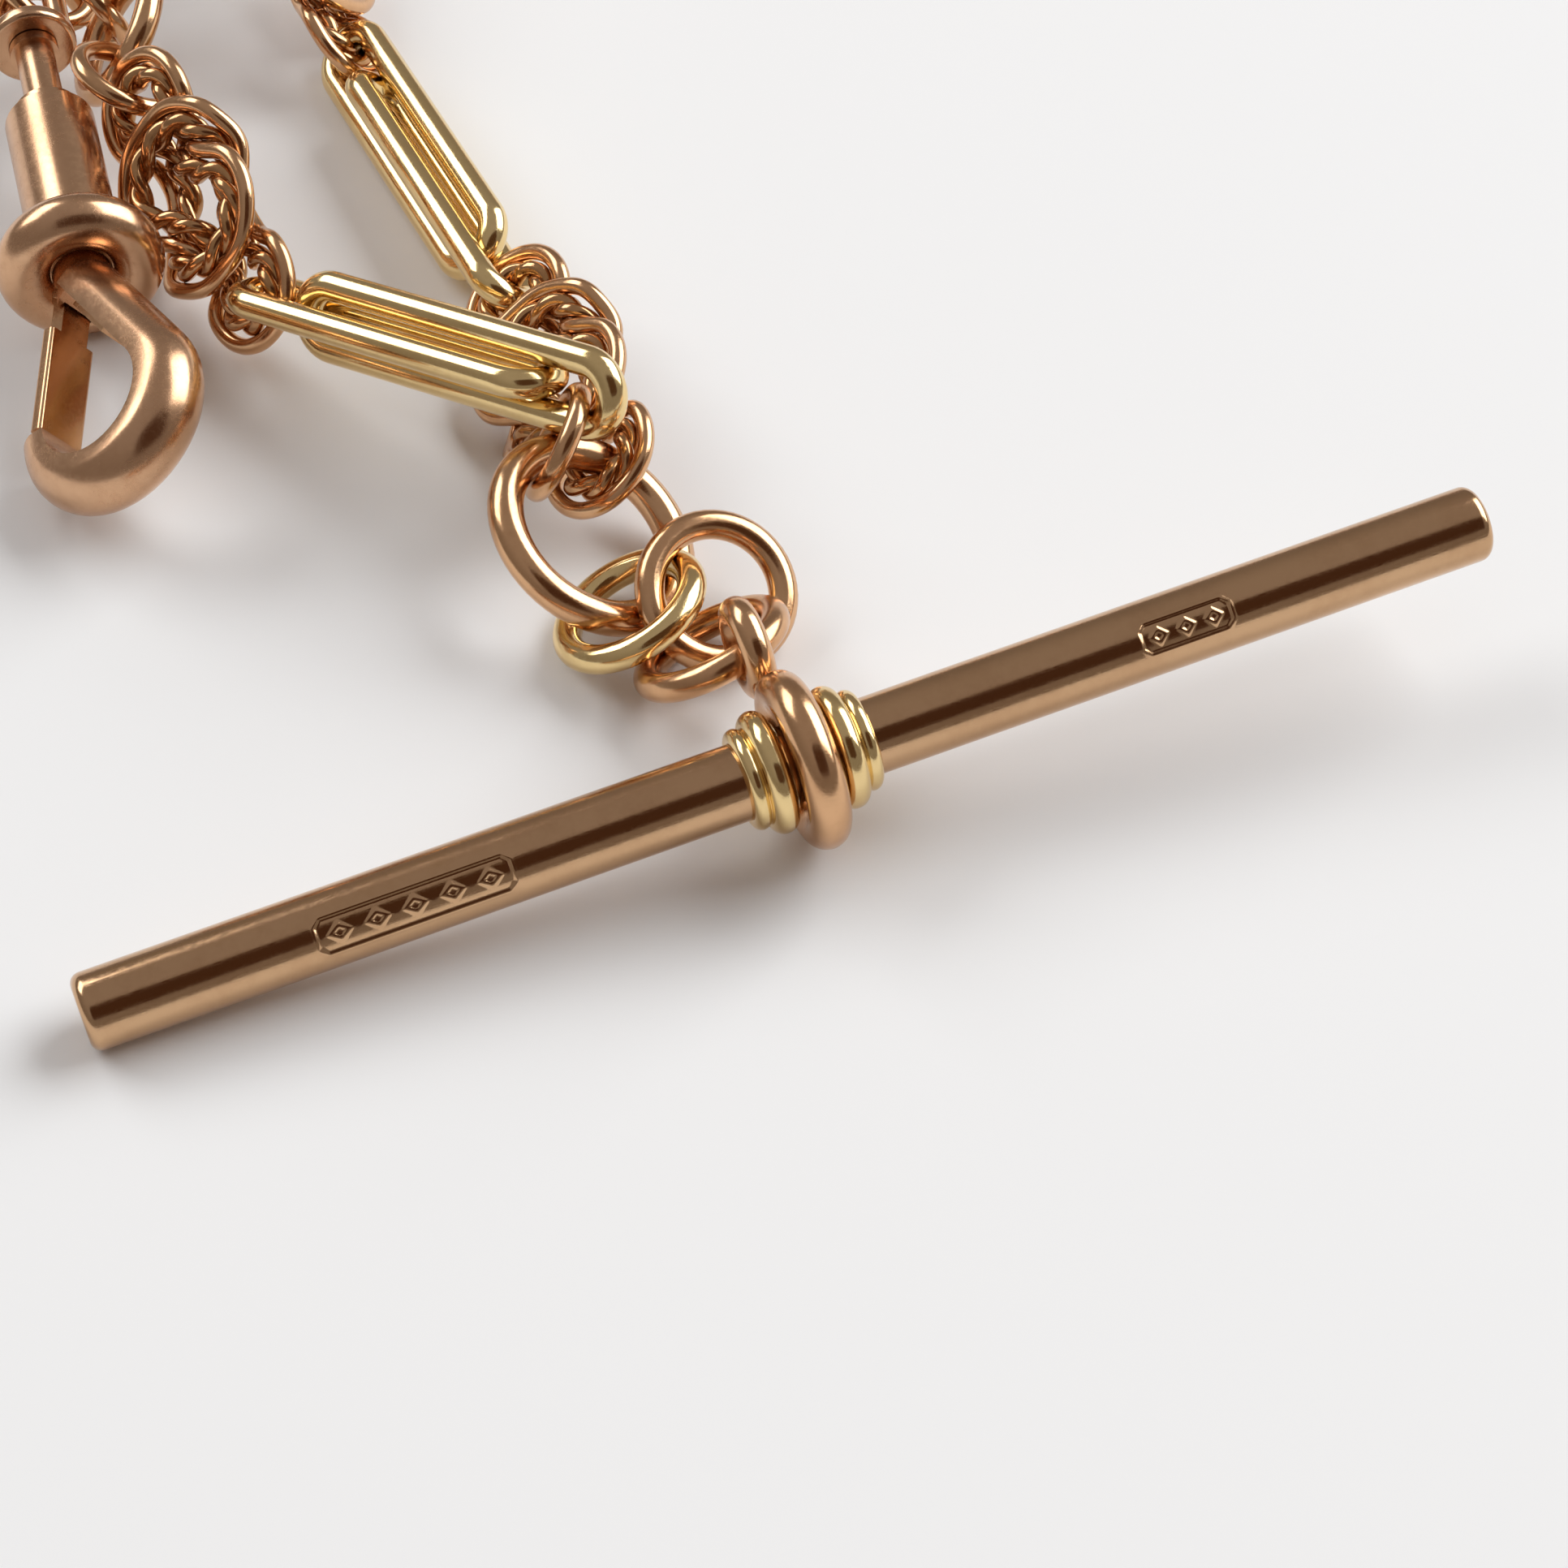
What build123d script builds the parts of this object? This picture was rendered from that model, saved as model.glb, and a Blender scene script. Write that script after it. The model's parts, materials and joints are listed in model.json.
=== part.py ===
from build123d import *
import os
from math import asin, atan2, cos, degrees, pi, radians, sin

# A gold watch chain that lies on a table: a T-bar on a drop of rings, a centre ring,
# a long main chain and a short fob drop, each ending in a swivel clip with a sprung gate.
# Millimetres, +Z up. The links beside the T-bar lie on one another where pile() says; each link
# of the main run hangs on the last one, from a table of headings and rolls.

GAP = 0.05                    # running clearance between two linked wires

# T-bar
BAR_LENGTH = 44.0
BAR_R = 1.17
BAR_END_ROUND = 0.35
BAR_NECK_R = 0.80             # turned down where the collars and the shackle sit
BAR_NECK_HALF = 2.04
BAR_TILT = 4.2                # the left end rests on the table, the middle on the shackle ring
COLLAR_R = 1.88
COLLAR_INNER_BEAD = 0.42      # half width of the bead next to the shackle
COLLAR_OUTER_BEAD = 0.27      # half width of the smaller bead beside it
COLLAR_OUTER_R = 1.55
SHACKLE_RING_R = 2.11         # path radius of the ring that runs round the bar's neck
SHACKLE_RING_WIRE = 0.64
SHACKLE_EYE_R = 1.15
SHACKLE_EYE_WIRE = 0.47
SHACKLE_LIFT = 5.0            # degrees that the shackle's eye stands above level
SHACKLE_REACH = SHACKLE_RING_R + SHACKLE_RING_WIRE + SHACKLE_EYE_R + SHACKLE_EYE_WIRE
SOLDER_GAP = 0.02

# Rings: path radius and wire radius
DROP_RING = (2.14, 0.46)
CENTRE_RING = (3.03, 0.56)
JUMP_RING = (1.66, 0.33)

# Trombone link: two long loops of wire, crossed at right angles and set end past end
TROMBONE_LENGTH = 16.0
TROMBONE_WIRE = 0.5
TROMBONE_WIDTH = 2.04         # between the two wires of one loop
TROMBONE_STEP = 2.6           # one loop stands past the other by this much
LOOP_LENGTH = TROMBONE_LENGTH - TROMBONE_STEP - 2 * TROMBONE_WIRE

# Knot link: two bights drawn through each other, each a plain wire beside a rope wire
ROPE_WIRE = 0.40
PLAIN_WIRE = 0.28
PLAIN_OFFSET = 0.70           # plain wire's path outside the rope's
KNOT_EYE_X = 5.2
KNOT_EYE_W = 1.2
KNOT_NECK_W = 0.43
KNOT_WIDE_W = 1.84
KNOT_BIGHT_X = 2.45
KNOT_BIGHT_CUT = 0.95         # how much of each corner the bight's round end takes off
KNOT_LIFT = 0.49

# Swivel clip, along its own axis from the middle of the bow to the tip of the hook
BOW_WIRE = 0.40
BOW_HALF_WIDTH = 1.05
BOW_BASE = (1.5, 2.1)         # from, to
BOW_BASE_R = 1.5
POST_R = 0.28
POST_HEAD = (1.0, 1.47)
POST_HEAD_R = 0.52
POST_END = 3.4
FIT = 0.03                    # running clearance round the post and the gate's pin
NECK = (2.15, 6.0)
NECK_R = 0.66
BARREL_R = 1.5
BARREL_END = 12.3
CLIP_COLLAR_X = 13.2
CLIP_COLLAR = (1.85, 0.90)    # path radius and tube radius of the rounded collar
COLLAR_DISC = (12.5, 13.58)
ROOT_R = 1.0                  # short round root of the hook, inside the collar's mouth
ROOT = (13.6, 15.1)
HOOK_R = 2.68                 # middle of the section round the hook's nose
HOOK_CENTRE_X = 20.35
HOOK_START = (14.5, 0.45)
HOOK_DEPTH = 1.45             # across the D section, from its flat to its crown
HOOK_THICK = 2.4
GATE_PIN = (14.6, -0.62)
GATE_PIN_R = 0.18
GATE_KNUCKLE_R = 0.38
GATE_KNUCKLE_HALF = 0.58
GATE_THICK = 0.5
GATE_WIDTH = 1.9
GATE_REACH = 5.35
GATE_SLOPE = 19.4             # degrees that the closed gate slopes away from the clip's axis
SPRING_THICK = 0.22
SPRING_WIDTH = 1.1
SPRING_FROM = (17.3, 0.70)
SPRING_TO = (15.3, -0.14)


# ---------------------------------------------------------------- wires and loops

def tube(path, radius):
    """A round wire along an open path, or along each half of a closed one."""
    edges = path.edges()
    half = len(edges) // 2
    lengths = [edges[:half], edges[half:]] if path.is_closed and half > 1 else [edges]
    wire = None
    for run in lengths:
        line = Wire(run)
        section = Plane(origin=line @ 0, z_dir=line % 0) * Circle(radius)
        piece = sweep(section, path=line)
        wire = piece if wire is None else wire + piece
    return wire


def ring(size):
    """A closed ring in the XY plane."""
    return Torus(size[0], size[1])


def long_loop(length, width, radius):
    """A closed loop of wire with two straight sides, in the XY plane; length between wires."""
    side = (length - width) / 2
    half = width / 2
    top = Line((-side, half), (side, half))
    right = ThreePointArc((side, half), (side + half, 0), (side, -half))
    bottom = Line((side, -half), (-side, -half))
    left = ThreePointArc((-side, -half), (-side - half, 0), (-side, half))
    return tube(Wire([top, right, bottom, left]), radius)


def offset_corners(corners, distance):
    """The plan outline moved outwards by a distance, each corner keeping its height."""
    moved = []
    count = len(corners)
    for i in range(count):
        here = Vector(*corners[i][:2])
        before = (here - Vector(*corners[i - 1][:2])).normalized()
        after = (Vector(*corners[(i + 1) % count][:2]) - here).normalized()
        normal_a = Vector(before.Y, -before.X)
        normal_b = Vector(after.Y, -after.X)
        shift = (normal_a + normal_b) * (distance / (1 + normal_a.dot(normal_b)))
        moved.append((here.X - shift.X, here.Y - shift.Y, corners[i][2]))
    return moved


def bight_corners():
    """Corners of one bight: an eye at -X, a neck under the other bight, a wide end at +X."""
    low, high = -KNOT_LIFT, KNOT_LIFT
    cut = KNOT_BIGHT_CUT
    return [
        (-KNOT_EYE_X, -KNOT_EYE_W, 0),
        (-KNOT_EYE_X, KNOT_EYE_W, 0),
        (-3.75, KNOT_EYE_W, 0),
        (-3.1, KNOT_NECK_W, low),
        (-1.8, KNOT_NECK_W, low),
        (-0.75, KNOT_NECK_W, high),
        (0.6, KNOT_WIDE_W, high),
        (KNOT_BIGHT_X - cut, KNOT_WIDE_W, high),
        (KNOT_BIGHT_X, KNOT_WIDE_W - cut, high),
        (KNOT_BIGHT_X, cut - KNOT_WIDE_W, high),
        (KNOT_BIGHT_X - cut, -KNOT_WIDE_W, high),
        (0.65, -KNOT_WIDE_W, low),
        (-0.75, -KNOT_NECK_W, low),
        (-3.1, -KNOT_NECK_W, low),
        (-3.75, -KNOT_EYE_W, 0),
    ]


def bight_path(outward):
    """Smooth closed path through the bight's corners, moved outwards by a distance."""
    corners = offset_corners(bight_corners(), outward)
    eye = KNOT_EYE_W + outward - 0.06
    end = KNOT_BIGHT_CUT + outward
    radii = [eye, eye, 0.45, 0.6, 0.6, 0.6, 0.8, end, end, end, 0.5, 0.6, 0.8, 0.6, 0.45]
    return FilletPolyline(*corners, radius=radii, close=True)


def knot_wires(outward, radius):
    """Both bights of one kind of wire, the second being the first turned half round Z."""
    wire = tube(bight_path(outward), radius)
    return [wire, Rot(0, 0, 180) * wire]


# ---------------------------------------------------------------- links

def trombone():
    """Two long loops at right angles, the first standing towards -X and the second to +X."""
    loop = long_loop(LOOP_LENGTH, TROMBONE_WIDTH, TROMBONE_WIRE)
    near = Pos(-TROMBONE_STEP / 2, 0, 0) * Rot(-45, 0, 0) * loop
    far = Pos(TROMBONE_STEP / 2, 0, 0) * Rot(45, 0, 0) * loop
    return [near, far]


# ---------------------------------------------------------------- T-bar and shackle

def bar_rod():
    """Plain round rod with rounded ends and a thinner neck at its middle."""
    rod = Cylinder(BAR_R, BAR_LENGTH)
    rod = fillet(rod.edges().filter_by(GeomType.CIRCLE), BAR_END_ROUND)
    sleeve = Cylinder(2 * BAR_R, 2 * BAR_NECK_HALF) - Cylinder(BAR_NECK_R, 3 * BAR_NECK_HALF)
    return Rot(0, 90, 0) * (rod - sleeve)


def bar_collar(side):
    """Two beads of metal round the bar, the larger one next to the shackle."""
    start = SHACKLE_RING_WIRE + GAP
    inner = start + COLLAR_INNER_BEAD
    outer = start + 2 * COLLAR_INNER_BEAD + COLLAR_OUTER_BEAD * 0.8
    bore = BAR_NECK_R + SOLDER_GAP
    big = Pos(inner, 0, 0) * Rot(0, 90, 0) * Torus(COLLAR_R - COLLAR_INNER_BEAD, COLLAR_INNER_BEAD)
    small = Pos(outer, 0, 0) * Rot(0, 90, 0) * Torus(COLLAR_OUTER_R - COLLAR_OUTER_BEAD, COLLAR_OUTER_BEAD)
    sleeve_end = outer + COLLAR_OUTER_BEAD * 0.6
    sleeve_start = start + 0.12
    sleeve = Cylinder(COLLAR_R - COLLAR_INNER_BEAD, sleeve_end - sleeve_start)
    sleeve = Pos((sleeve_start + sleeve_end) / 2, 0, 0) * Rot(0, 90, 0) * sleeve
    collar = big + small + sleeve
    collar = collar - Rot(0, 90, 0) * Cylinder(bore, 4 * BAR_LENGTH)
    return collar if side > 0 else Rot(0, 0, 180) * collar


def shackle_ring():
    """Ring in the YZ plane, round the bar's neck."""
    return Rot(0, 90, 0) * ring((SHACKLE_RING_R, SHACKLE_RING_WIRE))


def shackle_eye():
    """Smaller ring beside it with a bead of solder between the two."""
    eye = Pos(0, SHACKLE_REACH, 0) * Rot(0, 90, 0) * ring((SHACKLE_EYE_R, SHACKLE_EYE_WIRE))
    bead = Pos(0, SHACKLE_RING_R + SHACKLE_RING_WIRE, 0) * Sphere(0.46)
    keep_off = Rot(0, 90, 0) * ring((SHACKLE_RING_R, SHACKLE_RING_WIRE + SOLDER_GAP))
    return eye + (bead - keep_off)


# ---------------------------------------------------------------- swivel clip

def along_x(radius, span):
    """Round bar on the X axis from one station to another."""
    return Pos((span[0] + span[1]) / 2, 0, 0) * Rot(0, 90, 0) * Cylinder(radius, span[1] - span[0])


def clip_bow():
    legs_end = BOW_BASE[0] + 0.25
    upper = Line((legs_end, BOW_HALF_WIDTH), (0, BOW_HALF_WIDTH))
    round_end = ThreePointArc((0, BOW_HALF_WIDTH), (-BOW_HALF_WIDTH, 0), (0, -BOW_HALF_WIDTH))
    lower = Line((0, -BOW_HALF_WIDTH), (legs_end, -BOW_HALF_WIDTH))
    section = Plane(origin=(legs_end, BOW_HALF_WIDTH, 0), z_dir=(-1, 0, 0)) * Circle(BOW_WIRE)
    loop = sweep(section, path=Wire([upper, round_end, lower]))
    base = along_x(BOW_BASE_R, BOW_BASE)
    base = fillet(base.edges().filter_by(GeomType.CIRCLE), 0.2)
    return loop + base - along_x(POST_R + FIT, (BOW_BASE[0] - 0.5, BOW_BASE[1] + 0.5))


def clip_post():
    head = along_x(POST_HEAD_R, POST_HEAD)
    head = fillet(head.edges().group_by(Axis.X)[0], 0.15)
    return head + along_x(POST_R, (POST_HEAD[1] - 0.1, POST_END))


def clip_barrel():
    """Neck, stepped shoulder and body, turned from one piece, with the post's hole."""
    outline = [
        (NECK[0], 0),
        (NECK[0], NECK_R + 0.18),
        (NECK[0] + 0.35, NECK_R + 0.18),
        (NECK[0] + 0.35, NECK_R),
        (NECK[1] - 0.45, NECK_R),
        (NECK[1] - 0.45, 1.15),
        (NECK[1], 1.15),
        (NECK[1], BARREL_R - 0.15),
        (NECK[1] + 0.15, BARREL_R),
        (BARREL_END - 0.5, BARREL_R),
        (BARREL_END - 0.35, BARREL_R + 0.12),
        (BARREL_END, BARREL_R + 0.12),
        (BARREL_END, 0),
    ]
    face = make_face(Polyline(*outline, close=True))
    body = revolve(face, axis=Axis.X)
    return body - along_x(POST_R + SOLDER_GAP, (NECK[0] - 1, POST_END + SOLDER_GAP))


def clip_collar():
    """Rounded collar at the barrel's end, closed by a disc a little way inside."""
    bead = Pos(CLIP_COLLAR_X, 0, 0) * Rot(0, 90, 0) * ring(CLIP_COLLAR)
    collar = bead + along_x(CLIP_COLLAR[0], COLLAR_DISC)
    return collar - along_x(5, (BARREL_END - 3, BARREL_END + SOLDER_GAP))


def hook_path():
    """Straight flank from the root, then round the nose to the snout."""
    x0, y0 = HOOK_START
    dx = HOOK_CENTRE_X - x0
    reach = (dx * dx + y0 * y0) ** 0.5
    lean = atan2(-y0, dx) + asin(HOOK_R / reach)
    touch = (HOOK_CENTRE_X - HOOK_R * sin(lean), HOOK_R * cos(lean))
    flank = Line((x0, y0), touch)
    turn = -radians(97)
    nose = (HOOK_CENTRE_X + HOOK_R, 0)
    end = (HOOK_CENTRE_X + HOOK_R * cos(turn), HOOK_R * sin(turn))
    return Wire([flank, ThreePointArc(touch, nose, end)])


def clip_hook():
    """D section, flat inside and domed outside, swept round the hook's outline."""
    path = hook_path()
    half = HOOK_DEPTH / 2
    wide = HOOK_THICK / 2
    along = path % 0
    outward = Vector(-along.Y, along.X, 0)
    section_plane = Plane(origin=path @ 0, x_dir=outward, z_dir=along)
    side = Polyline((-0.2, wide), (-half, wide), (-half, -wide), (-0.2, -wide))
    dome = ThreePointArc((-0.2, -wide), (half, 0), (-0.2, wide))
    section = section_plane * make_face(side + dome)
    hook = sweep(section, path=path)
    hook = hook + along_x(ROOT_R, ROOT)
    pin = Pos(GATE_PIN[0], GATE_PIN[1], 0)
    slot_size = (2 * (GATE_KNUCKLE_HALF + 0.06))
    hook = hook - pin * Cylinder(GATE_KNUCKLE_R + 0.08, slot_size)
    hook = hook - Pos(GATE_PIN[0] + 1.5, GATE_PIN[1] - 0.3, 0) * Box(3.0, 0.9, slot_size)
    hook = hook - Pos(GATE_PIN[0] + 2.0, GATE_PIN[1] - 1.0, 0) * Box(3.0, 2.4, HOOK_THICK + 1)
    return hook - pin * Cylinder(GATE_PIN_R + 0.01, 6)


def clip_gate():
    """Flat strip on a knuckle, closed against the snout."""
    start = GATE_KNUCKLE_R * 0.5
    strip = Pos((start + GATE_REACH) / 2, 0, 0) * Box(GATE_REACH - start, GATE_THICK, GATE_WIDTH)
    strip = fillet(strip.edges().filter_by(Axis.X), 0.15)
    neck = Pos(0.75, 0, 0) * Box(1.5, 1.2, GATE_WIDTH + 1) - Box(4, 1.3, 2 * GATE_KNUCKLE_HALF)
    gate = strip - neck + Cylinder(GATE_KNUCKLE_R, 2 * GATE_KNUCKLE_HALF)
    gate = gate - Cylinder(GATE_PIN_R + FIT, 4)
    return Pos(GATE_PIN[0], GATE_PIN[1], 0) * Rot(0, 0, -GATE_SLOPE) * gate


def clip_gate_pin():
    half = (ROOT_R ** 2 - GATE_PIN[1] ** 2) ** 0.5
    return Pos(GATE_PIN[0], GATE_PIN[1], 0) * Cylinder(GATE_PIN_R, 2 * half)


def clip_spring():
    """Leaf spring along the flat of the hook, its free end behind the gate."""
    x0, y0 = SPRING_FROM
    x1, y1 = SPRING_TO
    length = ((x1 - x0) ** 2 + (y1 - y0) ** 2) ** 0.5
    lean = degrees(atan2(y0 - y1, x0 - x1))
    leaf = Box(length, SPRING_THICK, SPRING_WIDTH)
    return Pos((x0 + x1) / 2, (y0 + y1) / 2, 0) * Rot(0, 0, lean) * leaf


def clip_pieces():
    """Every piece of a clip by name."""
    return [
        ("bow", clip_bow()),
        ("post", clip_post()),
        ("barrel", clip_barrel()),
        ("collar", clip_collar()),
        ("hook", clip_hook()),
        ("gate", clip_gate()),
        ("gate_pin", clip_gate_pin()),
        ("gate_spring", clip_spring()),
    ]


# ---------------------------------------------------------------- where every link lies

def facing(heading, pitch, roll):
    """Direction along a link, and its own up, from angles in degrees."""
    h, p, r = radians(heading), radians(pitch), radians(roll)
    along = Vector(cos(h) * cos(p), sin(h) * cos(p), sin(p))
    left = Vector(-sin(h), cos(h), 0)
    up = along.cross(left)
    side = left * cos(r) + up * sin(r)
    return along, along.cross(side)


def posed(point, heading, pitch, roll):
    """Frame of a link: X along it, Y to its left, tipped up by the roll."""
    along, up = facing(heading, pitch, roll)
    return Plane(origin=point, x_dir=along, z_dir=up)


def ring_facing(centre, lean_to, lean):
    """Frame of a ring whose axis leans away from straight up towards a heading."""
    a, t = radians(lean_to), radians(lean)
    up = Vector(cos(a) * sin(t), sin(a) * sin(t), cos(t))
    return Plane(origin=centre, x_dir=Vector(-sin(a), cos(a), 0), z_dir=up)


# kind: wire radius, radius of its end, distance from the middle to the near end's wire,
# roll of the near end's plane, roll of the far end's plane
KINDS = {
    "centre_ring": (CENTRE_RING[1], CENTRE_RING[0], CENTRE_RING[0], 0, 0),
    "drop_ring": (DROP_RING[1], DROP_RING[0], DROP_RING[0], 0, 0),
    "jump_ring": (JUMP_RING[1], JUMP_RING[0], JUMP_RING[0], 0, 0),
    "trombone": (TROMBONE_WIRE, TROMBONE_WIDTH / 2, TROMBONE_LENGTH / 2 - TROMBONE_WIRE, -45, 45),
    "knot": (ROPE_WIRE, KNOT_EYE_W, KNOT_EYE_X, 0, 0),
    "bow": (BOW_WIRE, BOW_HALF_WIDTH, BOW_HALF_WIDTH, 0, 0),
}


def far_end(frame, kind, along):
    """Middle of the wire that the next link pulls on, and that wire's own direction there."""
    wire, end_r, reach, near_roll, far_roll = KINDS[kind]
    r = radians(far_roll)
    normal = frame.z_dir * cos(r) - frame.y_dir * sin(r)
    centre = frame.origin + frame.x_dir * (reach - end_r)
    outward = (along - normal * along.dot(normal)).normalized()
    return centre + outward * end_r, normal.cross(outward)


def hung(parent, kind, heading, pitch, roll):
    """Frame of a link pulled along a heading from the far end of its parent."""
    frame, parent_kind = parent
    along, up = facing(heading, pitch, roll)
    point, tangent = far_end(frame, parent_kind, along)
    gap = KINDS[parent_kind][0] + KINDS[kind][0] + GAP
    origin = point + along * (KINDS[kind][2] - gap)
    return Plane(origin=origin, x_dir=along, z_dir=up)


def outline(kind):
    """Points of the link's own wires with their radii, enough to find its lowest point."""
    wire, end_r, reach, near_roll, far_roll = KINDS[kind]
    points = []
    for i in range(24):
        c, s = cos(i * pi / 12), sin(i * pi / 12)
        if kind == "trombone":
            for way, tip in ((-1, near_roll), (1, far_roll)):
                r = radians(tip)
                for middle in (reach - end_r, reach - end_r - LOOP_LENGTH + TROMBONE_WIDTH):
                    points.append((way * middle + end_r * c, end_r * s * cos(r), end_r * s * sin(r), wire))
        elif kind == "knot":
            points.append((reach - end_r + end_r * c, end_r * s, 0, wire))
            points.append((end_r - reach + end_r * c, end_r * s, 0, wire))
        else:
            points.append((end_r * c, end_r * s, 0, wire))
        if kind == "bow":
            points.append((CLIP_COLLAR_X, CLIP_COLLAR[0] * c, CLIP_COLLAR[0] * s, CLIP_COLLAR[1]))
            nose = HOOK_R + HOOK_DEPTH / 2
            for z in (-HOOK_THICK / 2, HOOK_THICK / 2):
                points.append((HOOK_CENTRE_X + nose * c, nose * s, z, 0))
    if kind == "knot":
        lift = KNOT_LIFT
        half = KNOT_WIDE_W + PLAIN_OFFSET
        for x in (-2.2, -1.1, 0, 1.1, 2.2):
            for y in (-half, half):
                for z in (-lift, lift):
                    points.append((x, y, z, PLAIN_WIRE))
    return points


def lowest(frame, kind):
    """Height of the link's lowest point."""
    o, x, y, z = frame.origin.Z, frame.x_dir.Z, frame.y_dir.Z, frame.z_dir.Z
    return min(o + p[0] * x + p[1] * y + p[2] * z - p[3] for p in outline(kind))


def lying(parent, kind, heading, roll):
    """The same, with the pitch at which the link comes to rest on the table."""
    low, high = -40.0, 40.0
    for _ in range(14):
        pitch = (low + high) / 2
        if lowest(hung(parent, kind, heading, pitch, roll), kind) > 0:
            high = pitch
        else:
            low = pitch
    return hung(parent, kind, heading, high, roll)


# ---------------------------------------------------------------- the whole chain

def pile():
    """The links that lie on one another, and the fob drop: name, kind, frame."""
    return [
        ("centre_ring", "centre_ring", ring_facing((-2.46, 11.33, 2.16), -30.9, 31.8)),
        ("drop_ring_1", "drop_ring", ring_facing((-2.29, 8.55, 1.46), 138.7, 27.8)),
        ("drop_ring_2", "drop_ring", ring_facing((0.37, 8.02, 1.74), -77.2, 32.4)),
        ("drop_ring_3", "drop_ring", ring_facing((-0.60, 5.94, 1.72), 116.8, 36.1)),
        ("main_knot_1", "knot", posed((-1.18, 18.21, 2.13), 90.4, -4.2, -38.1)),
        ("fob_ring_1", "jump_ring", ring_facing((-2.61, 13.89, 3.83), 150.2, 64.1)),
        ("fob_trombone", "trombone", posed((-5.05, 19.45, 3.85), 124.0, -12.6, -19.6)),
        ("fob_knot", "knot", posed((-9.64, 29.65, 3.01), 98.2, 11.3, -55.5)),
        ("fob_ring_2", "jump_ring", ring_facing((-10.31, 35.55, 3.65), 7.8, 32.8)),
        ("fob_end_ring", "drop_ring", ring_facing((-9.82, 38.43, 3.15), 163.1, 53.4)),
        ("fob_ring_3", "jump_ring", ring_facing((-10.03, 41.18, 2.20), 21.2, 70.7)),
        ("fob_ring_4", "jump_ring", ring_facing((-11.26, 42.53, 2.85), -39.4, 36.8)),
        ("fob_clip", "bow", posed((-12.39, 41.30, 2.83), 263, 0, 37)),
    ]


# How far each clip's bow has swivelled from the plane of its hook
BOW_TURN = {"fob_clip": -20.8, "main_clip": 0}

# Each of these hangs on the one before: name, kind, heading, pitch, roll.
# Without a pitch it comes to rest on the table.
MAIN_RUN = [
    ("main_trombone_1", "trombone", 94, None, 90),
    ("main_knot_2", "knot", 98, None, 45),
    ("main_ring_1", "jump_ring", 70, None, -45),
    ("main_trombone_2", "trombone", 64, None, 90),
    ("main_knot_3", "knot", 69, None, 45),
    ("main_ring_2", "jump_ring", 41, None, -45),
    ("main_trombone_3", "trombone", 34, None, 90),
    ("main_knot_4", "knot", 39, None, 45),
    ("main_ring_3", "jump_ring", 11, None, -45),
    ("main_clip", "bow", -4, None, 30),
]


def run_from(first, table):
    """Links of one branch in order, each hung on the last one."""
    parent = first
    links = []
    for name, kind, heading, pitch, roll in table:
        if pitch is None:
            frame = lying(parent, kind, heading, roll)
        else:
            frame = hung(parent, kind, heading, pitch, roll)
        links.append((name, kind, frame))
        parent = (frame, kind)
    return links


def all_links():
    links = pile()
    by_name = {name: (frame, kind) for name, kind, frame in links}
    return links + run_from(by_name["main_knot_1"], MAIN_RUN)


def bar_frame():
    """T-bar: the middle of its axis is the middle of the shackle's ring."""
    return Plane(origin=(0, 0, SHACKLE_RING_R + SHACKLE_RING_WIRE + 0.01),
                 x_dir=(cos(radians(BAR_TILT)), 0, sin(radians(BAR_TILT))),
                 z_dir=(-sin(radians(BAR_TILT)), 0, cos(radians(BAR_TILT))))


def pieces_of(name, kind):
    """Shapes of one link in its own frame, by node name."""
    if kind == "centre_ring":
        return [(name, ring(CENTRE_RING))]
    if kind == "drop_ring":
        return [(name, ring(DROP_RING))]
    if kind == "jump_ring":
        return [(name, ring(JUMP_RING))]
    if kind == "trombone":
        near, far = trombone()
        return [(name + "_near_loop", near), (name + "_far_loop", far)]
    if kind == "knot":
        rope = Compound(children=knot_wires(0, ROPE_WIRE))
        plain = Compound(children=knot_wires(PLAIN_OFFSET, PLAIN_WIRE))
        return [(name + "_rope", rope), (name + "_plain", plain)]
    pieces = dict(clip_pieces())
    pieces["bow"] = Rot(BOW_TURN[name], 0, 0) * pieces["bow"]
    return [(name + "_" + piece, shape) for piece, shape in pieces.items()]


def bar_pieces():
    return [
        ("t_bar_rod", bar_rod()),
        ("t_bar_collar_right", bar_collar(1)),
        ("t_bar_collar_left", bar_collar(-1)),
        ("shackle_ring", shackle_ring()),
        ("shackle_eye", Rot(SHACKLE_LIFT, 0, 0) * shackle_eye()),
    ]


def placed_pieces():
    """Every node in the bar's frame, before the whole is set over its own middle."""
    nodes = []
    for name, shape in bar_pieces():
        nodes.append((name, bar_frame().location * shape))
    for name, kind, frame in all_links():
        for node, shape in pieces_of(name, kind):
            nodes.append((node, frame.location * shape))
    return nodes


# middle of the whole's footprint and its lowest point, so the origin is below its middle
SHIFT = (-16.821, -39.688, 0.2963)


def main():
    os.makedirs("parts", exist_ok=True)
    for name, shape in placed_pieces():
        export_step(Pos(*SHIFT) * shape, "parts/" + name + ".step")


if __name__ == "__main__":
    main()
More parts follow.
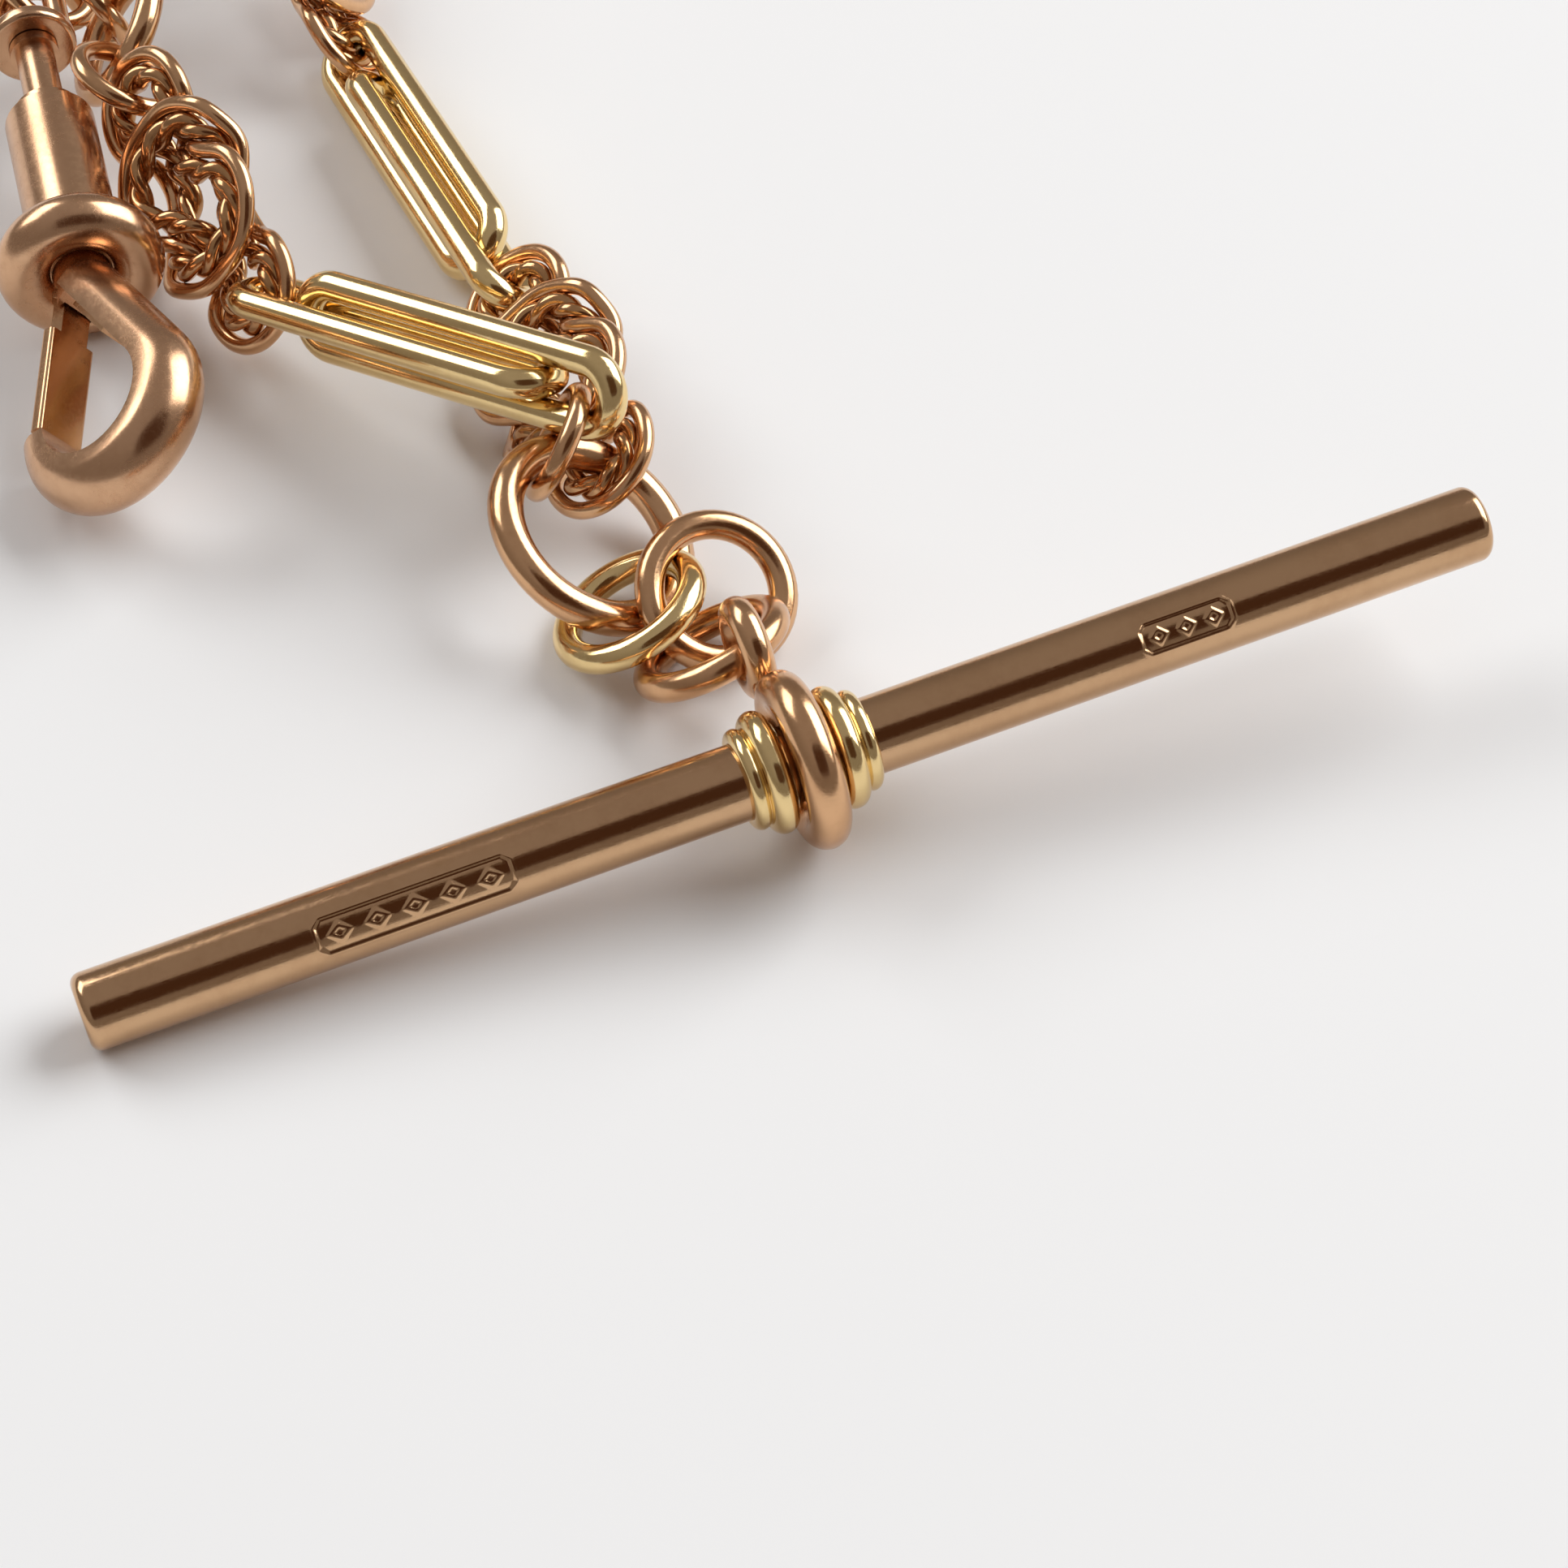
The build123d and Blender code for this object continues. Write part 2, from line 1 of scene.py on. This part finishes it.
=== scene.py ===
import bpy
import json
import math
import numpy as np
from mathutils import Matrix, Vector


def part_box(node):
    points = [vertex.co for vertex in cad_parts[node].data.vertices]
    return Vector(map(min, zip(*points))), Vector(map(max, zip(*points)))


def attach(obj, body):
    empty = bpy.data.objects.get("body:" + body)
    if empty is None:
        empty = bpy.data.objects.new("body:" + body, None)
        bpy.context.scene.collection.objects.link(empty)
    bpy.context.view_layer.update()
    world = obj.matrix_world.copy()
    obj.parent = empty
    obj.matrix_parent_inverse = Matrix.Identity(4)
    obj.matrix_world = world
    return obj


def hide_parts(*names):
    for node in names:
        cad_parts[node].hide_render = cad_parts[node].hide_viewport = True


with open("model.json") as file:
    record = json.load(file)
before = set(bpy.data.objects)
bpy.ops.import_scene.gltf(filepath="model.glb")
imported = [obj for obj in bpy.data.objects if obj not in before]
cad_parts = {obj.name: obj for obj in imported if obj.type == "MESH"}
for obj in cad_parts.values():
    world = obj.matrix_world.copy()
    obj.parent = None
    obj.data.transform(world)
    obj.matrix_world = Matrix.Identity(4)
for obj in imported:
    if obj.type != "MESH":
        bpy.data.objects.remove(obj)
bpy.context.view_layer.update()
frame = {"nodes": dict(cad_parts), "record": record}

MM = 0.001
UP = np.array([0, 0, 1.0])

# The table's surface: the lowest the links beside the T-bar reach. Wires of the further knots dip under it.
bar_lo, bar_hi = (np.array(v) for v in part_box("t_bar_rod"))
BAR_MID = (bar_lo + bar_hi) / 2
BAR_TILT = math.radians(4.2)
BAR_DIR = np.array([math.cos(BAR_TILT), 0, math.sin(BAR_TILT)])
SHACKLE_STANDS = 2.76 * MM
TABLE_Z = BAR_MID[2] - SHACKLE_STANDS


# ---------------------------------------------------------------- shader helper

# the Mix node's colour sockets, which it has beside those for numbers and vectors
MIX_COLOUR_A, MIX_COLOUR_B, MIX_COLOUR_OUT = 6, 7, 2


class Sock:
    """A node socket with arithmetic, so a material reads as a formula."""

    def __init__(self, tree, socket):
        self.tree = tree
        self.socket = socket

    def node(self, kind, inputs=(), output=0, **settings):
        made = self.tree.nodes.new(kind)
        for key, value in settings.items():
            setattr(made, key, value)
        for key, value in dict(inputs).items():
            if isinstance(value, Sock):
                self.tree.links.new(value.socket, made.inputs[key])
            elif value is not None:
                made.inputs[key].default_value = value
        return Sock(self.tree, made.outputs[output])

    def math(self, operation, other=None):
        return self.node("ShaderNodeMath", {0: self, 1: other}, operation=operation)

    def __add__(self, other):
        return self.math("ADD", other)

    def __sub__(self, other):
        return self.math("SUBTRACT", other)

    def __mul__(self, other):
        return self.math("MULTIPLY", other)

    def __truediv__(self, other):
        return self.math("DIVIDE", other)

    def steps(self, low, high):
        """0 below low, 1 above high, smooth between."""
        return self.node("ShaderNodeMapRange", {"Value": self, "From Min": low, "From Max": high},
                         interpolation_type="SMOOTHSTEP")

    def noise(self, scale, detail=4, rough=0.55, stretch=None):
        """Noise over the piece, scale in waves per millimetre."""
        where = self
        if stretch:
            where = self.node("ShaderNodeMapping", {"Vector": self, "Scale": stretch})
        return self.node("ShaderNodeTexNoise", {"Vector": where, "Scale": scale / MM,
                                                "Detail": detail, "Roughness": rough})

    def between(self, low, high):
        """Two colours mixed by this factor."""
        colours = {0: self, MIX_COLOUR_A: rgba(low), MIX_COLOUR_B: rgba(high)}
        return self.node("ShaderNodeMix", colours, output=MIX_COLOUR_OUT, data_type="RGBA")

    def plug(self, socket):
        self.tree.links.new(self.socket, socket)


def rgba(value):
    return value if isinstance(value, Sock) else (*value, 1.0)


def material(name, build):
    made = bpy.data.materials.new(name)
    made.use_nodes = True
    tree = made.node_tree
    coords = tree.nodes.new("ShaderNodeTexCoord")
    build(Sock(tree, coords.outputs["Object"]), tree.nodes["Principled BSDF"].inputs)
    return made


def gold(name, light, dark, rough=0.09, spread=0.10, wear=0.5, bump=0.010, grain=(1, 1, 1)):
    """Old polished gold: patches of tarnish, fine scratches along the grain, and a slight unevenness.

    light and dark are the clean and the tarnished colour, rough the roughness of clean gold, spread how much
    rougher tarnish is, wear how much of it there is, and bump the height of the unevenness in millimetres.
    """

    def build(place, inputs):
        patches = place.noise(0.35, 5, 0.6)
        fine = place.noise(2.4, 5, 0.65)
        tarnish = (patches * 0.7 + fine * 0.3).steps(0.42, 0.66) * wear
        hairs = place.noise(3.0, 3, 0.7, stretch=grain)
        lines = hairs.math("SUBTRACT", 0.5).math("ABSOLUTE").steps(0.05, 0.0)
        inputs["Metallic"].default_value = 1.0
        tarnish.between(light, dark).plug(inputs["Base Color"])
        (tarnish * spread + lines * 0.05 + fine * 0.04 + rough).plug(inputs["Roughness"])
        height = patches * 0.5 + fine * 0.22 - lines * 0.10
        bumped = height.node("ShaderNodeBump", {"Height": height, "Strength": 0.3, "Distance": bump * MM})
        bumped.plug(inputs["Normal"])

    return material(name, build)


ROSE = gold("rose_gold", (0.725, 0.43, 0.232), (0.525, 0.275, 0.132), rough=0.12, grain=(1, 6, 3))
CLIP = gold("clip_gold", (0.69, 0.42, 0.25), (0.525, 0.285, 0.156), rough=0.17, spread=0.12, bump=0.012)
YELLOW = gold("yellow_gold", (0.88, 0.66, 0.325), (0.69, 0.47, 0.195), rough=0.08, wear=0.4,
              grain=(5, 1, 3))
# rope gold: a darker gold than the plain wires, which is painted shade standing in for the shade between the
# twisted strands; its tarnish patches are the gold's own wear
ROPE_PAINTED_SHADE = gold("rope_gold", (0.61, 0.345, 0.17), (0.37, 0.185, 0.075), rough=0.12, wear=0.7)
WORN = gold("worn_gold", (0.69, 0.41, 0.227), (0.44, 0.23, 0.113), rough=0.17, wear=0.8)
BAR = gold("bar_gold", (0.63, 0.395, 0.222), (0.515, 0.30, 0.158), rough=0.07, spread=0.08, bump=0.008,
           grain=(0.5, 9, 9))
SLOTS = {"rose_gold": ROSE, "yellow_gold": YELLOW, "rope_gold": ROPE_PAINTED_SHADE, "worn_gold": WORN, "bar_gold": BAR}


# ---------------------------------------------------------------- smooth CAD solids

WELD = 0.0005 * MM
SHARP_EDGE = math.radians(38)


def smooth_group():
    """Geometry nodes: weld, then smooth shading with the sharp edges kept."""
    group = bpy.data.node_groups.new("smooth_edges", "GeometryNodeTree")
    group.interface.new_socket("Geometry", in_out="INPUT", socket_type="NodeSocketGeometry")
    group.interface.new_socket("Geometry", in_out="OUTPUT", socket_type="NodeSocketGeometry")
    start = group.nodes.new("NodeGroupInput")
    end = group.nodes.new("NodeGroupOutput")
    weld = group.nodes.new("GeometryNodeMergeByDistance")
    weld.inputs["Distance"].default_value = WELD
    angle = group.nodes.new("GeometryNodeInputMeshEdgeAngle")
    flat = group.nodes.new("FunctionNodeCompare")
    flat.operation = "LESS_THAN"
    flat.inputs[1].default_value = SHARP_EDGE
    faces = group.nodes.new("GeometryNodeSetShadeSmooth")
    faces.domain = "FACE"
    edges = group.nodes.new("GeometryNodeSetShadeSmooth")
    edges.domain = "EDGE"
    link = group.links.new
    link(start.outputs[0], weld.inputs["Geometry"])
    link(weld.outputs[0], faces.inputs["Geometry"])
    link(faces.outputs[0], edges.inputs["Geometry"])
    link(angle.outputs[0], flat.inputs[0])
    link(flat.outputs[0], edges.inputs["Shade Smooth"])
    link(edges.outputs[0], end.inputs[0])
    return group


SMOOTH = smooth_group()
node_slot = {part["node"]: part["material_slot"] for part in frame["record"]["subparts"]}
for node, obj in frame["nodes"].items():
    modifier = obj.modifiers.new("smooth", "NODES")
    modifier.node_group = SMOOTH
    rosy_clip = "_clip_" in node and node_slot[node] == "rose_gold"
    for slot in obj.material_slots:
        slot.material = CLIP if rosy_clip else SLOTS[node_slot[node]]


# ---------------------------------------------------------------- mesh pieces

def body_of(node):
    for body, nodes in frame["record"]["behaviour"]["bodies"].items():
        if node in nodes:
            return body
    raise KeyError(node)


def grid_mesh(name, points, look, closed_u=True, closed_v=True):
    """Smooth surface through a grid of points: u runs down its rows, v along each row."""
    rows, cols = points.shape[:2]
    index = np.arange(rows * cols).reshape(rows, cols)
    here = index if closed_u else index[:-1]
    below = np.roll(index, -1, 0) if closed_u else index[1:]
    here_next, below_next = np.roll(here, -1, 1), np.roll(below, -1, 1)
    faces = np.stack([here, here_next, below_next, below], -1)
    if not closed_v:
        faces = faces[:, :-1]
    mesh = bpy.data.meshes.new(name)
    mesh.from_pydata(points.reshape(-1, 3).tolist(), [], faces.reshape(-1, 4).tolist())
    mesh.shade_smooth()
    obj = bpy.data.objects.new(name, mesh)
    bpy.context.scene.collection.objects.link(obj)
    mesh.materials.append(look)
    return obj


def along(path):
    """Direction at every point of a closed path."""
    step = np.roll(path, -1, 0) - np.roll(path, 1, 0)
    return step / np.linalg.norm(step, axis=1, keepdims=True)


def across(path):
    """Two directions square to a closed path at every point: level, and the other one."""
    ahead = along(path)
    level = np.cross(ahead, UP)
    level /= np.linalg.norm(level, axis=1, keepdims=True)
    return level, np.cross(ahead, level)


def tube_points(path, radius, sides):
    """Grid of points round a closed path, a row for each point of the path."""
    level, other = across(path)
    angle = np.linspace(0, 2 * np.pi, sides, endpoint=False)[None, :, None]
    return path[:, None] + radius * (np.cos(angle) * level[:, None] + np.sin(angle) * other[:, None])


def even(path, step):
    """Closed path with evenly spaced points, and its length."""
    loop = np.vstack([path, path[:1]])
    gaps = np.linalg.norm(np.diff(loop, axis=0), axis=1)
    length = np.r_[0, np.cumsum(gaps)]
    count = int(round(length[-1] / step))
    want = np.linspace(0, length[-1], count, endpoint=False)
    return np.stack([np.interp(want, length, loop[:, k]) for k in range(3)], 1), length[-1]


def eased(path, passes):
    """Closed path with each point drawn towards its neighbours."""
    for _ in range(passes):
        path = (np.roll(path, 1, 0) + np.roll(path, -1, 0)) / 4 + path / 2
    return path


# ---------------------------------------------------------------- knots

# A bight in millimetres, its eye at -x: how far out the eye's end is, half widths of the eye, the neck and
# the bight, how far out the bight's end is, how much its corners are cut, and how far it passes over and under.
EYE_X, EYE_W, NECK_W, WIDE_W, BIGHT_X, CUT, LIFT = 5.2, 1.2, 0.43, 1.84, 2.45, 0.95, 0.49
PLAIN_OUT = 0.70                  # the plain wire's middle line outside the rope's
PLAIN_R, PLAIN_SIDES = 0.28, 16
STRAND_R, STRAND_SIDES = 0.25, 10
STRAND_OFFSET = 0.19              # a strand's middle line from the rope's
STRAND_PITCH = 2.3                # length of one turn of the twist
KNOT_STEP, KNOT_PASSES = 0.11, 25
ARC_POINTS = 12


def bight_corners():
    return np.array([
        (-EYE_X, -EYE_W, 0), (-EYE_X, EYE_W, 0), (-3.75, EYE_W, 0), (-3.1, NECK_W, -LIFT),
        (-1.8, NECK_W, -LIFT), (-0.75, NECK_W, LIFT), (0.6, WIDE_W, LIFT), (BIGHT_X - CUT, WIDE_W, LIFT),
        (BIGHT_X, WIDE_W - CUT, LIFT), (BIGHT_X, CUT - WIDE_W, LIFT), (BIGHT_X - CUT, -WIDE_W, LIFT),
        (0.65, -WIDE_W, -LIFT), (-0.75, -NECK_W, -LIFT), (-3.1, -NECK_W, -LIFT), (-3.75, -EYE_W, 0)])


def bight(outward):
    """The middle line of one bight's wire: its corners moved outwards, then rounded."""
    corners = bight_corners()
    ahead = np.roll(corners, -1, 0)[:, :2] - corners[:, :2]
    ahead /= np.linalg.norm(ahead, axis=1, keepdims=True)
    before = np.roll(ahead, 1, 0)
    normal_a = np.stack([before[:, 1], -before[:, 0]], 1)
    normal_b = np.stack([ahead[:, 1], -ahead[:, 0]], 1)
    spread = 1 + (normal_a * normal_b).sum(1, keepdims=True)
    corners[:, :2] -= (normal_a + normal_b) * outward / spread
    eye = EYE_W + outward - 0.06
    end = CUT + outward
    radii = [eye, eye, 0.45, 0.6, 0.6, 0.6, 0.8, end, end, end, 0.5, 0.6, 0.8, 0.6, 0.45]
    path = []
    count = len(corners)
    for i in range(count):
        here = corners[i]
        back = corners[i - 1] - here
        fore = corners[(i + 1) % count] - here
        back /= np.linalg.norm(back)
        fore /= np.linalg.norm(fore)
        half = math.acos(np.clip(back @ fore, -1, 1)) / 2
        run = radii[i] / math.tan(half)
        middle = here + (back + fore) / np.linalg.norm(back + fore) * radii[i] / math.sin(half)
        start = here + back * run - middle
        end_arm = here + fore * run - middle
        turn = math.pi - 2 * half
        for step in np.linspace(0, 1, ARC_POINTS):
            arm = (start * math.sin((1 - step) * turn) + end_arm * math.sin(step * turn)) / math.sin(turn)
            path.append(middle + arm)
    return np.array(path)


def knot_frame(node):
    """Middle and axes of a knot, from how its solid spreads."""
    mesh = frame["nodes"][node].data
    points = np.empty(len(mesh.vertices) * 3)
    mesh.vertices.foreach_get("co", points)
    points = points.reshape(-1, 3) / MM
    middle = points.mean(0)
    for _ in range(3):
        spread = points - middle
        vectors = np.linalg.eigh(spread.T @ spread)[1]
        axes = vectors[:, ::-1]
        local = spread @ axes
        middle = middle + axes @ ((local.max(0) + local.min(0)) / 2)
    x, y = axes[:, 0], axes[:, 1]
    best = None
    test = eased(even(bight(0), 0.2)[0], 2)
    test = np.vstack([test, test * [-1, -1, 1]])
    for flip in (1, -1):
        rotation = np.stack([x, y * flip, np.cross(x, y * flip)], 1)
        placed = test @ rotation.T + middle
        gap = np.linalg.norm(placed[:, None] - points[None, ::3], axis=2).min(1)
        if best is None or gap.std() < best[0]:
            best = (gap.std(), rotation)
    return middle, best[1]


def dress_knot(name):
    """Round plain wires, and two strands twisted along each bight in place of the rope's plain solid."""
    node = name + "_rope"
    middle, rotation = knot_frame(node)
    path, length = even(bight(0), KNOT_STEP)
    path = eased(path, KNOT_PASSES)
    level, other = across(path)
    turns = round(length / STRAND_PITCH)
    phase = np.linspace(0, 2 * np.pi * turns, len(path), endpoint=False)[:, None]
    plain_path = eased(even(bight(PLAIN_OUT), KNOT_STEP)[0], KNOT_PASSES)
    plain = tube_points(plain_path, PLAIN_R, PLAIN_SIDES)
    for half, turn in (("a", 1), ("b", -1)):
        for strand in (0, 1):
            angle = phase + strand * math.pi
            core = path + STRAND_OFFSET * (np.cos(angle) * level - np.sin(angle) * other)
            place_knot_wire("%s_strand_%s%d" % (name, half, strand + 1),
                            tube_points(core, STRAND_R, STRAND_SIDES),
                            turn, middle, rotation, node, "rope_gold")
        place_knot_wire("%s_wire_%s" % (name, half), plain,
                        turn, middle, rotation, name + "_plain", "rose_gold")


def place_knot_wire(name, points, turn, middle, rotation, node, slot):
    """One wire of a knot in place of its plain solid; turn is -1 for the bight turned half round."""
    world = ((points * [turn, turn, 1]) @ rotation.T + middle) * MM
    piece = grid_mesh(name, world, SLOTS[slot])
    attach(piece, body_of(node))
    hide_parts(node)


for node in list(frame["nodes"]):
    if node.endswith("_rope"):
        dress_knot(node.removesuffix("_rope"))


# ---------------------------------------------------------------- T-bar

BAR_R = 1.17
BAR_HALF = 22.0
BAR_ROUND = 0.35
END_HOLE = 0.001                  # radius left open at each end
BAR_SIDES = 200
# stamped panels: middle along the bar, half length, half width, angle above level, lozenges in a row
PANELS = ((-12.15, 2.95, 0.56, 41, 5), (11.95, 1.45, 0.48, 50, 3))
PANEL_DEPTH = 0.045


def bar_stations():
    """Places along the bar and the radius at each, closer together in the panels and at the ends."""
    turn = np.linspace(0, np.pi / 2, 12)
    end_x = BAR_HALF - BAR_ROUND + BAR_ROUND * np.sin(turn)
    end_r = BAR_R - BAR_ROUND + BAR_ROUND * np.cos(turn)
    places = [np.linspace(-BAR_HALF + BAR_ROUND, BAR_HALF - BAR_ROUND, 90)]
    for middle, half, _, _, _ in PANELS:
        places.append(np.linspace(middle - half - 0.2, middle + half + 0.2, int(half * 2 / 0.035)))
    body = np.unique(np.round(np.concatenate(places), 4))
    x = np.concatenate([[-BAR_HALF], -end_x[:0:-1], body, end_x[1:], [BAR_HALF]])
    r = np.concatenate([[END_HOLE], end_r[:0:-1], np.full(len(body), BAR_R), end_r[1:], [END_HOLE]])
    return x, r


def panel_relief(x, angle):
    """Height of the surface over the bar's own radius: sunk panels, each with a row of lozenges."""
    height = np.zeros(np.broadcast(x, angle).shape)
    for middle, half, wide, level, count in PANELS:
        u = x - middle
        v = (angle - math.radians(level)) * BAR_R
        chamfer = (np.abs(u) - half + np.abs(v) - wide + 0.22) * 0.71
        inside = -np.maximum(np.maximum(np.abs(u) - half, np.abs(v) - wide), chamfer)
        sunk = np.clip(inside / 0.07, 0, 1)
        rim = np.exp(-((inside + 0.05) / 0.05) ** 2) * 0.016
        pitch = 2 * (half - 0.12) / count
        cell = (u + half - 0.12) % pitch - pitch / 2
        lozenge = np.clip((0.36 - np.abs(cell) * 0.36 / (pitch * 0.42) - np.abs(v)) / 0.10, 0, 1)
        hollow = np.clip((0.16 - np.abs(cell) * 0.16 / (pitch * 0.19) - np.abs(v)) / 0.06, 0, 1)
        height += rim - PANEL_DEPTH * sunk * (1 - 0.85 * lozenge + 0.85 * hollow)
    return height


def make_bar():
    """The stamped rod in place of the plain one. It runs straight through where the solid has a neck."""
    x, r = bar_stations()
    angle = np.linspace(-np.pi, np.pi, BAR_SIDES, endpoint=False)
    x, r, angle = x[None, :], r[None, :], angle[:, None]
    relief = panel_relief(x, angle)
    radius = r + np.where(r == BAR_R, relief, 0)
    lift = np.array([-BAR_DIR[2], 0, BAR_DIR[0]])
    front = np.array([0, -1, 0])
    points = BAR_MID + MM * (x[..., None] * BAR_DIR + (radius * np.sin(angle))[..., None] * lift
                             + (radius * np.cos(angle))[..., None] * front)
    bar = grid_mesh("t_bar_stamped_rod", points, BAR, closed_v=False)
    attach(bar, body_of("t_bar_rod"))
    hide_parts("t_bar_rod")


make_bar()


# ---------------------------------------------------------------- camera, floor and light

TARGET = np.array([BAR_MID[0], BAR_MID[1] + 1.5 * MM, TABLE_Z])
EYE = TARGET + np.array([-28.87, -72.91, 93.46]) * MM
LENS, SENSOR = 93.65, 36.0
LIGHT_AWAY = 1.2
FLOOR_HALF = 1.5


def look_at(obj, place, target):
    obj.location = Vector(place)
    obj.rotation_euler = (Vector(target) - Vector(place)).to_track_quat("-Z", "Y").to_euler()


camera_data = bpy.data.cameras.new("camera")
camera_data.lens = LENS
camera_data.sensor_width = SENSOR
camera_data.clip_start = 0.005
camera_data.clip_end = 10.0
camera = bpy.data.objects.new("camera", camera_data)
bpy.context.scene.collection.objects.link(camera)
look_at(camera, EYE, TARGET)
bpy.context.scene.camera = camera


def floor_look(_, inputs):
    inputs["Base Color"].default_value = (0.935, 0.935, 0.935, 1)
    inputs["Roughness"].default_value = 0.6
    inputs["Specular IOR Level"].default_value = 0.2


def make_floor():
    ends = (-FLOOR_HALF, FLOOR_HALF)
    corners = np.array([[(x, y, TABLE_Z) for x in ends] for y in ends])
    obj = grid_mesh("table", corners, material("table", floor_look), closed_u=False, closed_v=False)


def area_light(name, towards, size, radiance, colour):
    """A soft panel that a polished surface reflects at the given brightness."""
    data = bpy.data.lights.new(name, "AREA")
    data.shape = "RECTANGLE"
    data.size, data.size_y = size
    data.energy = radiance * math.pi * size[0] * size[1]
    data.color = colour
    obj = bpy.data.objects.new(name, data)
    bpy.context.scene.collection.objects.link(obj)
    towards = np.array(towards) / np.linalg.norm(towards)
    look_at(obj, TARGET + towards * LIGHT_AWAY, TARGET)


make_floor()
area_light("window_right", (0.80, 0.12, 0.59), (1.10, 0.95), 4.4, (0.972, 1.0, 1.018))
area_light("window_back", (-0.42, 0.68, 0.60), (0.85, 0.52), 3.7, (0.975, 1.0, 1.015))


def room(tree, background):
    """A dim warm room, darker where someone leans over the table to look."""
    coords = tree.nodes.new("ShaderNodeTexCoord")
    way = Sock(tree, coords.outputs["Generated"])
    x, y, z = (way.node("ShaderNodeSeparateXYZ", {0: way}, output=axis) for axis in range(3))
    height = z.math("ARCTAN2", y * -1.0)
    sideways = (x - 0.06) / 0.44
    upwards = (height - math.radians(45)) / math.radians(20)
    spread = (sideways.math("POWER", 4.0) + upwards.math("POWER", 4.0)).math("POWER", 0.25)
    someone = spread.steps(1.06, 0.96) * y.steps(0.1, -0.05)
    ceiling = z.steps(0.2, 1.0).between((0.247, 0.22, 0.202), (0.342, 0.315, 0.302))
    someone.between(ceiling, (0.075, 0.038, 0.022)).plug(background.inputs["Color"])
    background.inputs["Strength"].default_value = 1.0


world = bpy.data.worlds.new("world")
bpy.context.scene.world = world
world.use_nodes = True
room(world.node_tree, world.node_tree.nodes["Background"])

bpy.context.scene.view_settings.view_transform = "Standard"
